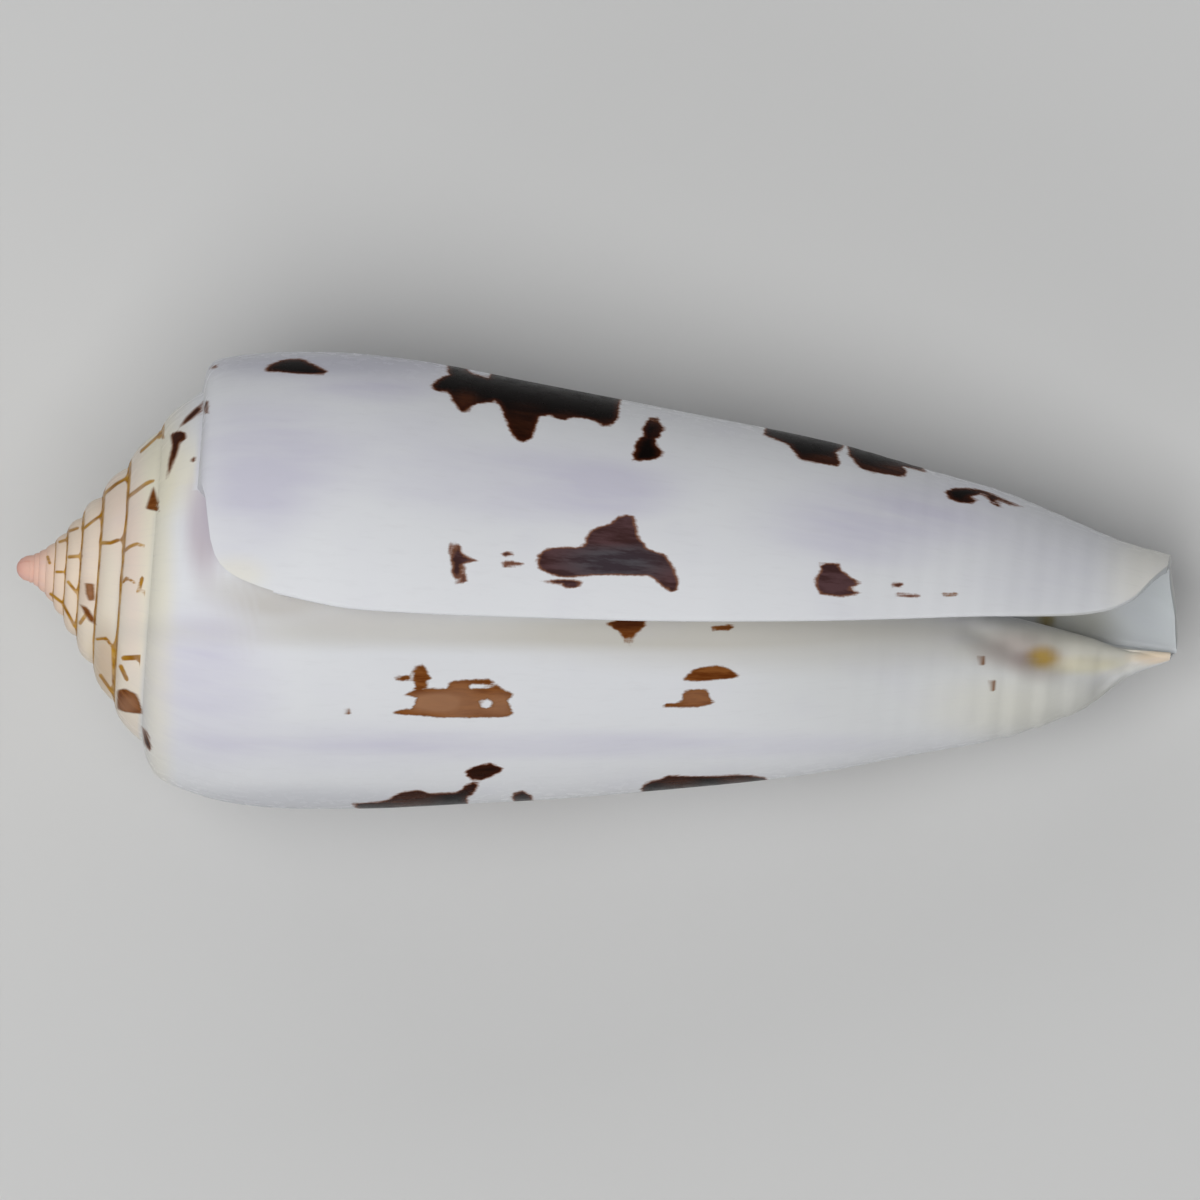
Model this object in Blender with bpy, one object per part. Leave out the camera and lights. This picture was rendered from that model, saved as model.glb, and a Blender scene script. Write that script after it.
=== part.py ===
"""A tall, tented cone shell, lying on its back with its opening upward.

The shell is one solid. Its outer surface is a spiral: the radius depends on the place along
the shell's axis and on the angle round it, which runs on from whorl to whorl. The angle is 0
at the lip, grows back along the shell's growth, and passes 360 under the lip, where the same
surface goes on as the inner wall of the opening. Lengths are millimetres until the mesh is
made, and angles are degrees.
"""

import math

import bmesh
import bpy
from mathutils import Matrix, Vector

MILLIMETRE = 0.001

# The last suture, a quarter turn back from the lip, and the growth of one whorl.
SUTURE_PLACE = 10.75
PLACE_GROWTH = 1.284
# How wide the spire is for its height, by whorls back from there.
SPIRE_SLOPE = [
    (-0.2, 1.09), (0.0, 1.138), (0.5, 1.125), (1.0, 1.14), (2.0, 1.07), (3.0, 0.97), (4.0, 0.89),
    (5.0, 0.8), (7.0, 0.7), (8.5, 0.72), (10.0, 0.95),
]
QUARTER = 90.0
GROWTH_LEAN = 2.1

# The body's radius a quarter turn back from the lip, from the shoulder (0) to the end (1).
BODY_RADIUS = [
    (0.0, 14.45), (0.09, 15.26), (0.15, 15.45), (0.21, 15.31), (0.34, 14.41), (0.48, 13.37),
    (0.65, 12.01), (0.74, 10.85), (0.82, 9.81), (0.9, 8.18), (0.95, 7.15), (1.0, 6.5),
]
# What is left of that radius half a turn further back.
HALF_TURN_RATIO = [
    (0.0, 0.885), (0.1, 0.925), (0.2, 0.91), (0.4, 0.885), (0.57, 0.83), (0.69, 0.77),
    (0.78, 0.7), (0.86, 0.64), (0.92, 0.5), (0.948, 0.3), (0.966, 0.175), (0.985, 0.09), (1.0, 0.03),
]
LEAST_LIP_RATIO = 0.84
# How far the pillar narrows inside the opening, by place along the body.
PILLAR_RATIO = [(0.0, 1.0), (0.55, 1.0), (0.75, 0.6), (0.84, 0.42), (0.92, 0.4), (1.0, 0.4)]
PILLAR_FROM = 300.0
PILLAR_TO = 430.0
LEAST_RADIUS = 0.22

# The front end of the shell: where its margin lies at each angle, and the middle of its cap.
END_MARGIN = [
    (0.0, 73.45), (60.0, 73.7), (90.0, 73.9), (120.0, 74.65), (152.0, 75.03), (195.0, 74.65),
    (230.0, 74.6),
]
END_PLACE = 74.4

# The lip's edge: place along the axis and angle, from the suture to the front end.
LIP_EDGE = [
    (11.2, 31.0), (12.0, 20.0), (12.3, 12.8), (12.6, 8.7), (13.1, 4.9), (14.6, 1.3),
    (18.0, -1.7), (22.4, -3.3), (37.8, -1.5), (50.6, 2.3), (63.4, 10.5), (67.5, 14.9),
    (69.8, 20.2), (71.6, 29.8), (72.8, 47.0), (73.6, 62.0),
]
LIP_START = 31.0
LIP_SPREAD = 0.4

# The shoulder rounds off sharply near the lip and gently on the earlier whorls.
SHOULDER_REACH = [(90.0, 0.039), (270.0, 0.2), (450.0, 0.344)]
SHOULDER_POWER = [(90.0, 0.5), (270.0, 1.0), (450.0, 0.7)]
JOIN_FROM = 300.0
# Past the next suture the fit fades out over this many times the step between the two.
FIT_FADE = 3.0

WALL = 0.9
LIP_WALL = 0.6
CAVITY_DEPTH = 243.0
LEAST_GAP_SHARE = 0.3
CLOSING_ROWS = 5

ROWS_PER_TURN = 40
SPIRE_TURNS = 9
SHOULDER_COLUMNS = 4
BODY_COLUMNS = 28
SUTURE_CROWDING = 2
FRONT_CROWDING = 1.25
LIP_BEND_COLUMNS = 2
LIP_BEND_ANGLE = 10.0
TIP_PLACE = 0.1

# The pose in which the shell lies at rest, and how much of it is worn flat there.
REST_PITCH = 6.5
FLAT_DEPTH = 0.12
CUT_TOLERANCE = 1e-4

SHELL_COLOUR = (0.86, 0.83, 0.79, 1.0)
SHELL_ROUGHNESS = 0.25
SHARP_ANGLE = 40.0


def remove_everything():
    for item in list(bpy.data.objects):
        bpy.data.objects.remove(item, do_unlink=True)


def curve_value(points, at):
    """The height of a smooth curve through points, which neither overshoots nor waves."""
    at = min(max(at, points[0][0]), points[-1][0])
    slopes = [
        (b[1] - a[1]) / (b[0] - a[0]) for a, b in zip(points, points[1:])
    ]
    tangents = [slopes[0]]
    for before, after in zip(slopes, slopes[1:]):
        flat = before * after <= 0
        tangents.append(0.0 if flat else 2 * before * after / (before + after))
    tangents.append(slopes[-1])
    index = 0
    while index < len(points) - 2 and at > points[index + 1][0]:
        index += 1
    (x0, y0), (x1, y1) = points[index], points[index + 1]
    width = x1 - x0
    f = (at - x0) / width
    rise = y1 - y0
    bend = f * f * (3 - 2 * f)
    start = f * (1 - f) ** 2 * width * tangents[index]
    end = f * f * (f - 1) * width * tangents[index + 1]
    return y0 + rise * bend + start + end


def ease(value):
    """A smooth step from 0 to 1."""
    value = min(max(value, 0.0), 1.0)
    return value * value * (3 - 2 * value)


def suture_place(angle):
    return SUTURE_PLACE * PLACE_GROWTH ** (-(angle - QUARTER) / 360)


def suture_radius(angle):
    return suture_place(angle) * curve_value(SPIRE_SLOPE, (angle - QUARTER) / 360)


def end_place(angle):
    return curve_value(END_MARGIN, angle)


def body_radius(angle, place):
    """The whorl's radius past its shoulder."""
    start = suture_place(angle)
    along = (place - start) / (end_place(angle) - start)
    ratio = curve_value(HALF_TURN_RATIO, along)
    if angle < QUARTER:
        ratio = max(ratio, LEAST_LIP_RATIO)
    radius = curve_value(BODY_RADIUS, along) * ratio ** ((angle - QUARTER) / 180)
    inside = ease((angle - PILLAR_FROM) / (PILLAR_TO - PILLAR_FROM))
    radius *= 1 - inside * (1 - curve_value(PILLAR_RATIO, along))
    return max(radius, LEAST_RADIUS)


def shouldered_radius(angle, place):
    """The whorl's radius with its rounded shoulder, which rises out of the suture."""
    low = suture_radius(angle)
    height = suture_place(angle - 360) - suture_place(angle)
    step = max(place - suture_place(angle), 0.0) / height
    reach = curve_value(SHOULDER_REACH, angle)
    power = curve_value(SHOULDER_POWER, angle)
    return low + (body_radius(angle, place) - low) * (1 - math.exp(-((step / reach) ** power)))


def surface_radius(angle, place):
    """The shell's radius, fitted to the suture of the next whorl where there is one."""
    radius = shouldered_radius(angle, place)
    joined = ease((angle - JOIN_FROM) / (360 + LIP_START - JOIN_FROM))
    if joined:
        next_place = suture_place(angle - 360)
        height = next_place - suture_place(angle)
        miss = suture_radius(angle - 360) - shouldered_radius(angle, next_place)
        step = (place - suture_place(angle)) / height
        share = max(step, 0.0) if step < 1 else ease((1 + FIT_FADE - step) / FIT_FADE)
        radius += miss * joined * share
    return radius


def point_at(angle, place, radius):
    """The shell's own frame: +X runs along the axis to the front, +Z at angle 0."""
    turn = math.radians(angle)
    across = radius * math.sin(turn)
    lean = math.radians(GROWTH_LEAN)
    return Vector((place + across * math.sin(lean), across * math.cos(lean), radius * math.cos(turn)))


class Spiral:
    """The shell's surface as rows, one per step of angle, and columns, from suture to front."""

    def __init__(self):
        self.turn = ROWS_PER_TURN
        self.last_row = self.turn * (SPIRE_TURNS + 1)
        self.depth = round(CAVITY_DEPTH / 360 * self.turn)
        self.shoulder = SHOULDER_COLUMNS
        self.roof = SHOULDER_COLUMNS + 1
        self.front = SHOULDER_COLUMNS + BODY_COLUMNS

    def column_place(self, angle, column):
        start = suture_place(angle)
        next_start = suture_place(angle - 360)
        if column <= self.shoulder:
            return start + (next_start - start) * (column / self.shoulder) ** SUTURE_CROWDING
        along = 1 - (1 - (column - self.shoulder) / BODY_COLUMNS) ** FRONT_CROWDING
        return next_start + (end_place(angle) - next_start) * along

    def angle(self, row, column):
        """Rows bend near the lip, so that the first follows its edge and one lies under it."""
        angle = LIP_START + 360 * row / self.turn
        reference = self.column_place(LIP_BEND_ANGLE, column)
        shift = curve_value(LIP_EDGE, reference) - LIP_START
        spread = LIP_SPREAD * self.turn
        share = ease(1 - row / spread)
        if row > self.turn - spread:
            inner = min((column - self.shoulder) / LIP_BEND_COLUMNS, 1)
            share = ease(1 - abs(row - self.turn) / spread) * max(inner, 0)
        return angle + shift * share

    def outer(self, row, column):
        angle = self.angle(row, column)
        place = self.column_place(angle, column)
        return point_at(angle, place, surface_radius(angle, place))

    def inner(self, row, column):
        """The inside of the outer wall, which stays clear of the whorl within it."""
        angle = self.angle(row, column)
        place = self.column_place(angle, column)
        outside = surface_radius(angle, place)
        within = surface_radius(angle + 360, place)
        wall = WALL if row else LIP_WALL
        closing = ease((self.depth - row) / CLOSING_ROWS)
        gap = (outside - wall - within) * (LEAST_GAP_SHARE + (1 - LEAST_GAP_SHARE) * closing)
        gap = max(gap, LEAST_GAP_SHARE * (outside - within))
        return point_at(angle, place, within + gap)


def shell_mesh():
    spiral = Spiral()
    mesh = bmesh.new()
    outer, inner = {}, {}

    def add_outer(row, column):
        outer[row, column] = mesh.verts.new(spiral.outer(row, column))

    def outside(row, column):
        """The vertex at a row and column, where a whorl's end is the next one's suture."""
        if row >= spiral.turn and column == spiral.shoulder:
            return outer[row - spiral.turn, 0]
        return outer[row, column]

    def face(*corners):
        distinct = list(dict.fromkeys(corners))
        mesh.faces.new(distinct)

    for row in range(spiral.last_row + 1):
        last = spiral.front if row < spiral.turn else spiral.shoulder - 1
        for column in range(last + 1):
            add_outer(row, column)
    for row in range(spiral.turn, spiral.turn + spiral.depth + 1):
        first = spiral.shoulder + 1 if row == spiral.turn else spiral.roof
        for column in range(first, spiral.front + 1):
            add_outer(row, column)
    for row in range(spiral.depth + 1):
        for column in range(spiral.roof, spiral.front + 1):
            inner[row, column] = mesh.verts.new(spiral.inner(row, column))

    def outer_quads(rows, columns):
        for row in rows:
            for column in columns:
                face(
                    outside(row, column), outside(row, column + 1),
                    outside(row + 1, column + 1), outside(row + 1, column),
                )

    under_lip = spiral.turn
    outer_quads(range(under_lip), range(spiral.front))
    outer_quads(range(under_lip, spiral.last_row), range(spiral.shoulder))
    outer_quads(range(under_lip, under_lip + spiral.depth), range(spiral.roof, spiral.front))

    for row in range(spiral.depth):
        for column in range(spiral.roof, spiral.front):
            face(
                inner[row, column], inner[row + 1, column],
                inner[row + 1, column + 1], inner[row, column + 1],
            )
        top = spiral.roof
        face(
            inner[row, top], outside(under_lip + row, top),
            outside(under_lip + row + 1, top), inner[row + 1, top],
        )
        end = spiral.front
        face(outside(row, end), inner[row, end], inner[row + 1, end], outside(row + 1, end))

    deepest = spiral.depth
    for column in range(spiral.roof, spiral.front):
        face(
            outside(0, column), inner[0, column],
            inner[0, column + 1], outside(0, column + 1),
        )
        face(
            inner[deepest, column], outside(under_lip + deepest, column),
            outside(under_lip + deepest, column + 1), inner[deepest, column + 1],
        )

    def fan(hub, rim):
        for one, two in zip(rim, rim[1:] + rim[:1]):
            face(hub, one, two)

    lip_end = [outside(0, column) for column in range(spiral.roof + 1)]
    parietal = [outside(under_lip, column) for column in range(spiral.roof, spiral.shoulder, -1)]
    hub = inner[0, spiral.roof]
    chain = parietal + lip_end
    for one, two in zip(chain, chain[1:]):
        face(hub, one, two)

    rim = [
        outside(row, spiral.front) for row in range(deepest, under_lip + deepest + 1)
    ] + [inner[deepest, spiral.front]]
    fan(mesh.verts.new(point_at(0.0, END_PLACE, 0.0)), rim)

    first_turn = [outside(row, 0) for row in range(spiral.last_row - spiral.turn, spiral.last_row + 1)]
    seam = [outside(spiral.last_row, column) for column in range(1, spiral.shoulder)]
    fan(mesh.verts.new(point_at(0.0, TIP_PLACE, 0.0)), first_turn + seam)
    return mesh


def lay_at_rest(mesh):
    """Turns the shell on its back, onto the floor at z = 0, with a small worn flat there."""
    pose = Matrix.Rotation(math.radians(REST_PITCH), 4, "Y")
    bmesh.ops.transform(mesh, matrix=pose, verts=mesh.verts)
    lowest = min(vertex.co.z for vertex in mesh.verts)
    bmesh.ops.translate(mesh, vec=(0, 0, -lowest - FLAT_DEPTH), verts=mesh.verts)
    cut = bmesh.ops.bisect_plane(
        mesh, geom=mesh.verts[:] + mesh.edges[:] + mesh.faces[:], dist=CUT_TOLERANCE,
        plane_co=(0, 0, 0), plane_no=(0, 0, -1), clear_outer=True,
    )
    rim = [item for item in cut["geom_cut"] if isinstance(item, bmesh.types.BMEdge)]
    bmesh.ops.edgeloop_fill(mesh, edges=rim)
    middle = [
        (min(v.co[axis] for v in mesh.verts) + max(v.co[axis] for v in mesh.verts)) / 2
        for axis in (0, 1)
    ]
    bmesh.ops.translate(mesh, vec=(-middle[0], -middle[1], 0), verts=mesh.verts)


def shell_material():
    material = bpy.data.materials.new("shell")
    material.use_nodes = True
    shader = material.node_tree.nodes["Principled BSDF"]
    shader.inputs["Base Color"].default_value = SHELL_COLOUR
    shader.inputs["Roughness"].default_value = SHELL_ROUGHNESS
    shader.inputs["Metallic"].default_value = 0.0
    return material


def add_shell():
    mesh = shell_mesh()
    bmesh.ops.recalc_face_normals(mesh, faces=mesh.faces)
    lay_at_rest(mesh)
    bmesh.ops.scale(mesh, vec=(MILLIMETRE,) * 3, verts=mesh.verts)
    bmesh.ops.triangulate(mesh, faces=mesh.faces)
    bmesh.ops.recalc_face_normals(mesh, faces=mesh.faces)
    data = bpy.data.meshes.new("shell")
    mesh.to_mesh(data)
    mesh.free()
    data.shade_smooth()
    data.set_sharp_from_angle(angle=math.radians(SHARP_ANGLE))
    shell = bpy.data.objects.new("shell", data)
    shell.data.materials.append(shell_material())
    bpy.context.collection.objects.link(shell)
    return shell


def main():
    remove_everything()
    add_shell()


main()
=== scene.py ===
"""The looks of the tented cone shell: its fine surface, its pattern, its gloss and the view.

Lengths are millimetres in the shell's own frame, where +X runs along the axis to the front. The
angle round it is about 0 at the lip, grows back along the shell's growth and passes 360 under the
lip. They become metres when the mesh is made. The pattern's outlines are in the photo's pixels.
"""

import math

import bmesh
import bpy
import numpy as np
from mathutils import Matrix, Vector

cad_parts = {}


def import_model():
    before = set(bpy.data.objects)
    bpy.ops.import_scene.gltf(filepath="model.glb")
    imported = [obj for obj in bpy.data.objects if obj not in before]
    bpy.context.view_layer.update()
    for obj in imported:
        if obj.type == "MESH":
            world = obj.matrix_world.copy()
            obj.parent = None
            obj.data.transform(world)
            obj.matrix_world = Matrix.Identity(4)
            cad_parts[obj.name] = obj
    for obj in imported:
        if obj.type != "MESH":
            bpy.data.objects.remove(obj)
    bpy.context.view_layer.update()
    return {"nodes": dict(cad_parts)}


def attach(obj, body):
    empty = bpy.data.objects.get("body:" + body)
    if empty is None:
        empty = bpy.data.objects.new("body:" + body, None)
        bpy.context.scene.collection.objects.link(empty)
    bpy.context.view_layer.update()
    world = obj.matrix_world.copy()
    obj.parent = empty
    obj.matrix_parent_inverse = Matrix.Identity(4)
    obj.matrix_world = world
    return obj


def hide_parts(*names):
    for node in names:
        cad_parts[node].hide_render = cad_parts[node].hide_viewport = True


MILLIMETRE = 0.001

# The shell's form, in the part's sizes but for three. The front margin's furthest point is 0.05 mm
# short of the part's, so that the surface is inside the part's box. The lip's wall is 0.5 mm, not
# 0.6. The hollow goes back 132 degrees behind the lip, not 243, as DEEP_ROWS sets it. KEPT_INSIDE
# then makes every radius 0.3% smaller.
SUTURE_PLACE = 10.75
PLACE_GROWTH = 1.284
SPIRE_SLOPE = [
    (-0.2, 1.09), (0.0, 1.138), (0.5, 1.125), (1.0, 1.14), (2.0, 1.07), (3.0, 0.97), (4.0, 0.89),
    (5.0, 0.8), (7.0, 0.7), (8.5, 0.72), (10.0, 0.95),
]
QUARTER = 90.0
GROWTH_LEAN = math.radians(2.1)
BODY_RADIUS = [
    (0.0, 14.45), (0.09, 15.26), (0.15, 15.45), (0.21, 15.31), (0.34, 14.41), (0.48, 13.37),
    (0.65, 12.01), (0.74, 10.85), (0.82, 9.81), (0.9, 8.18), (0.95, 7.15), (1.0, 6.5),
]
HALF_TURN_RATIO = [
    (0.0, 0.885), (0.1, 0.925), (0.2, 0.91), (0.4, 0.885), (0.57, 0.83), (0.69, 0.77),
    (0.78, 0.7), (0.86, 0.64), (0.92, 0.5), (0.948, 0.3), (0.966, 0.175), (0.985, 0.09), (1.0, 0.03),
]
LEAST_LIP_RATIO = 0.84
PILLAR_RATIO = [(0.0, 1.0), (0.55, 1.0), (0.75, 0.6), (0.84, 0.42), (0.92, 0.4), (1.0, 0.4)]
PILLAR_FROM = 300.0
PILLAR_TO = 430.0
LEAST_RADIUS = 0.22
END_MARGIN = [
    (0.0, 73.45), (60.0, 73.7), (90.0, 73.9), (120.0, 74.65), (152.0, 74.98), (195.0, 74.65),
    (230.0, 74.6),
]
END_PLACE = 74.4
LIP_EDGE = [
    (11.2, 31.0), (12.0, 20.0), (12.3, 12.8), (12.6, 8.7), (13.1, 4.9), (14.6, 1.3),
    (18.0, -1.7), (22.4, -3.3), (37.8, -1.5), (50.6, 2.3), (63.4, 10.5), (67.5, 14.9),
    (69.8, 20.2), (71.6, 29.8), (72.8, 47.0), (73.6, 62.0),
]
LIP_START = 31.0
LIP_SPREAD = 0.4
LIP_BEND_ANGLE = 10.0
SHOULDER_REACH = [(90.0, 0.039), (270.0, 0.2), (450.0, 0.344)]
SHOULDER_POWER = [(90.0, 0.5), (270.0, 1.0), (450.0, 0.7)]
JOIN_FROM = 300.0
FIT_FADE = 3.0
WALL = 0.9
LIP_WALL = 0.5
LEAST_GAP_SHARE = 0.3
CLOSING_ROWS = 30
TIP_PLACE = 0.1
REST_PITCH = 6.5
KEPT_INSIDE = 0.997
SMOOTHEST_TIP = 0.75
SMOOTH_FROM = 1200.0
SMOOTH_TO = 2600.0
DOME_TURNS = (25, 50, 72)

# How finely the visible surface is divided. Rows crowd on the side that the photo shows.
ROWS_PER_TURN = 256
ROW_CROWDING = 0.45
SPIRE_TURNS = 9
DEEP_ROWS = 104
UNDER_ROWS = 50
PILLAR_SEEN = 0.5
SHOULDER_COLUMNS = 12
BODY_COLUMNS = 136
SUTURE_CROWDING = 2
FRONT_CROWDING = 1.25
ROOF_COLUMNS = 4
LIP_BEND_COLUMNS = 2 * ROOF_COLUMNS
LIP_WALL_ROWS = 12
# How many rows under the lip still carry the marks.
MARKED_ROWS = 4
FRONT_MIDDLE_ANGLE = 400.0
LIP_ROUNDING = (45, 90, 135)
LIP_BULGE = 0.5
SHARP_ANGLE = 50

# Fine relief, cut into the surface: cords near the front, growth steps beside the canal.
CORD_DEPTH = 0.03
CORD_SPACING = 1.55
CORDS_FROM = 46.0
CORDS_FADE = 12.0
STEP_DEPTH = 0.16
STEP_SPACING = 1.9
STEPS_FROM = 61.0
STEPS_FADE = 4.0
STEPS_ANGLE = 200.0
STEPS_ANGLE_FADE = 60.0
GROOVE = [(975, 633), (1015, 652), (1055, 671), (1105, 682)]
GROOVE_DEPTH = 0.4
GROOVE_WIDTH = 13
GROOVE_ANGLE = 270.0
GROOVE_ANGLE_FADE = 20.0
RELIEF_END_FADE = 3.0

# The photo's view: square to the shell's axis, which slopes down to the right.
PIXEL = 75 / 1165
VIEW_PIXELS = 1200
TIP_PIXEL = (15, 567)
VIEW_SLOPE = math.radians(4.4)
CAMERA_DISTANCE = 2500.0
SENSOR_WIDTH = 36.0
CLIP_END = 10.0

# The pattern's outlines in the photo's pixels. Past the shell's upper and lower edges a height
# runs on round its back, as if the shell were unrolled.
DARK = [
    [(265, 372), (267, 366), (278, 362), (286, 359), (305, 359), (313, 364), (328, 371),
     (325, 376), (300, 375), (280, 373)],
    [(447, 365), (448, 375), (438, 379), (430, 387), (437, 392), (447, 392), (451, 398),
     (457, 408), (462, 413), (470, 412), (475, 405), (488, 404), (493, 401), (500, 406),
     (504, 418), (509, 428), (513, 437), (520, 443), (528, 443), (534, 436), (537, 425),
     (539, 417), (550, 416), (562, 422), (573, 418), (590, 420), (606, 428), (614, 425),
     (619, 417), (620, 404), (627, 385), (618, 362), (592, 350), (570, 356), (556, 340),
     (530, 332), (512, 342), (496, 362), (488, 378), (470, 372), (455, 352)],
    [(632, 462), (634, 446), (637, 440), (643, 436), (642, 428), (645, 423), (650, 418),
     (657, 417), (661, 425), (668, 431), (661, 431), (661, 437), (656, 440), (657, 445),
     (664, 454), (661, 458), (645, 462)],
    [(765, 428), (763, 435), (778, 441), (788, 446), (799, 460), (812, 463), (838, 467),
     (840, 462), (836, 453), (843, 448), (846, 430), (838, 405), (818, 396), (800, 408),
     (782, 405)],
    [(848, 455), (860, 469), (872, 473), (904, 478), (907, 471), (903, 467), (927, 473),
     (922, 466), (934, 452), (920, 432), (898, 436), (880, 418), (862, 428), (846, 440)],
    [(944, 491), (952, 488), (970, 488), (985, 491), (1010, 502), (1024, 508), (1008, 505),
     (996, 500), (1001, 508), (993, 506), (982, 494), (970, 497), (978, 501), (970, 504),
     (958, 503), (948, 499)],
    [(466, 771), (470, 767), (490, 762), (504, 768), (500, 773), (488, 778), (480, 781),
     (478, 788), (474, 794), (467, 797), (470, 812), (448, 828), (420, 822), (392, 834),
     (366, 820), (352, 803), (385, 801), (400, 792), (420, 789), (428, 793), (458, 792),
     (466, 784), (474, 781), (466, 776)],
    [(511, 797), (515, 792), (522, 790), (532, 795), (534, 806), (520, 812)],
    [(640, 789), (646, 782), (660, 779), (665, 775), (710, 776), (740, 774), (766, 777),
     (770, 782), (752, 798), (716, 802), (690, 818), (660, 812)],
    [(204, 401), (210, 402), (210, 414), (205, 415)],
    [(203, 403), (203, 410), (196, 417), (187, 424), (180, 428), (187, 417), (195, 409)],
    [(171, 434), (180, 431), (187, 433), (188, 440), (182, 442), (180, 450), (176, 462),
     (168, 480), (170, 460), (173, 447)],
    [(143, 726), (148, 730), (153, 747), (150, 751), (145, 743)],
    [(191, 462), (194, 458), (198, 456), (196, 463)],
]
MAUVE = [
    [(450, 552), (451, 545), (455, 539), (460, 545), (463, 553), (480, 561), (466, 563),
     (466, 575), (470, 582), (458, 585), (453, 574), (451, 562)],
    [(501, 552), (515, 553), (514, 558), (502, 557)],
    [(502, 562), (526, 563), (524, 567), (503, 567)],
    [(583, 548), (585, 540), (590, 530), (605, 526), (620, 516), (631, 515), (635, 520),
     (640, 540), (648, 549), (665, 555), (674, 566), (678, 580), (677, 592), (668, 592),
     (655, 580), (648, 576), (615, 575), (587, 576), (570, 578), (552, 576), (538, 569),
     (536, 557), (545, 549), (560, 547)],
    [(536, 582), (560, 579), (584, 581), (578, 588), (568, 589), (560, 585)],
    [(819, 563), (838, 563), (841, 570), (850, 578), (862, 583), (848, 588), (863, 594),
     (838, 597), (818, 594), (812, 581), (818, 574)],
    [(889, 582), (902, 583), (901, 587), (891, 587)],
    [(893, 592), (919, 594), (918, 598), (894, 596)],
    [(210, 370), (213, 366), (219, 364), (218, 368)],
]
RUST = [
    [(605, 623), (625, 617), (646, 620), (645, 626), (636, 634), (629, 648), (618, 631)],
    [(710, 626), (733, 624), (733, 630), (712, 631)],
    [(683, 680), (685, 676), (696, 667), (722, 665), (739, 675), (733, 678), (700, 681)],
    [(684, 690), (705, 688), (714, 702), (700, 707), (663, 707), (664, 703), (680, 703)],
    [(344, 709), (350, 707), (352, 714), (345, 714)],
    [(413, 674), (416, 663), (424, 663), (432, 678), (427, 684), (427, 690), (415, 690),
     (416, 682)],
    [(396, 675), (413, 675), (413, 680), (398, 680)],
    [(450, 682), (456, 679), (492, 679), (502, 688), (514, 693), (512, 697), (508, 700),
     (514, 713), (508, 717), (447, 717), (394, 714), (396, 709), (414, 708), (417, 696),
     (405, 695), (415, 688), (448, 688)],
    [(977, 656), (984, 656), (984, 665), (978, 665)],
    [(988, 680), (995, 680), (994, 691), (989, 691)],
    [(118, 690), (126, 688), (138, 694), (142, 704), (143, 714), (126, 712), (117, 709)],
    [(147, 509), (150, 500), (154, 486), (157, 492), (160, 504), (161, 512), (155, 511)],
    [(86, 583), (95, 584), (96, 600), (90, 601), (87, 594)],
    [(81, 604), (88, 607), (95, 617), (97, 625), (90, 621), (85, 613)],
]
LIP_RUST = [
    [(940, 593), (957, 593), (956, 596), (942, 597)],
]
RUST_HOLES = [
    [(480, 700), (486, 697), (493, 703), (490, 708), (482, 707)],
    [(470, 684), (488, 684), (494, 688), (470, 688)],
]
OUTLINES = {"dark": DARK, "mauve": MAUVE, "rust": RUST}
HOLES = {"rust": RUST_HOLES}
# Marks of the seen side, moved and turned over to make up the hidden side.
HIDDEN_COPIES = [
    ("dark", 0, (55, -170), False), ("dark", 0, (30, -250), True), ("dark", 1, (-18, -190), True),
    ("dark", 2, (40, -110), False), ("dark", 3, (-70, -110), True), ("dark", 4, (-20, -150), False),
    ("dark", 5, (-60, -150), True), ("dark", 8, (-330, 90), False), ("dark", 6, (250, 190), True),
    ("dark", 3, (20, 420), True), ("dark", 4, (-30, 480), False), ("mauve", 3, (-80, 360), True),
    ("rust", 7, (40, 260), False), ("rust", 2, (180, 190), True), ("dark", 2, (190, 430), False),
]
LINES = [
    ([(131, 496), (138, 491), (147, 484), (154, 481)], 1.7),
    ([(126, 551), (131, 547), (138, 544), (145, 546)], 1.5),
    ([(125, 582), (128, 578), (137, 583)], 1.2),
    ([(144, 578), (140, 592)], 1.8),
    ([(148, 592), (150, 606)], 1.7),
    ([(125, 658), (142, 657)], 2.4),
    ([(142, 657), (144, 672), (143, 691)], 1.6),
    ([(122, 666), (128, 679)], 2.0),
    ([(164, 431), (141, 452)], 1.3),
    ([(160, 427), (164, 438)], 1.5),
    ([(106, 493), (117, 484), (126, 479)], 1.5),
    ([(103, 543), (112, 543), (120, 540)], 1.7),
    ([(98, 639), (107, 638), (114, 647), (114, 680)], 1.3),
    ([(101, 675), (112, 691)], 1.6),
    ([(85, 528), (94, 521), (101, 516)], 1.3),
    ([(81, 623), (88, 613)], 1.7),
    ([(70, 557), (82, 556)], 1.6),
    ([(69, 582), (77, 592)], 1.4),
    ([(70, 531), (78, 528)], 1.3),
    ([(60, 542), (66, 540)], 1.2),
    ([(57, 572), (63, 572)], 1.2),
    ([(50, 563), (48, 557)], 1.3),
    ([(51, 594), (63, 603), (75, 626)], 1.4),
]
LINE_BOLDNESS = 0.2
SUTURE_LINE_FROM = 430.0
SUTURE_LINE_WIDTH = 0.13
SUTURE_LINE_PLACE = 6.0
SUTURE_LINE_LEAST = 2.2
HIDDEN_LINE_STEP = (26.0, 58.0)
HIDDEN_LINE_COUNT = 80
HIDDEN_LINES_FROM = 400
HIDDEN_LINE_SLANT = 9.0
HIDDEN_LINE_WIDTH = 0.16
SEED = 6

# A soft spot is whole to a third of its reach, and gone at five thirds of it.
SPOT_START = 1.25
SPOT_FALL = 0.75
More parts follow.
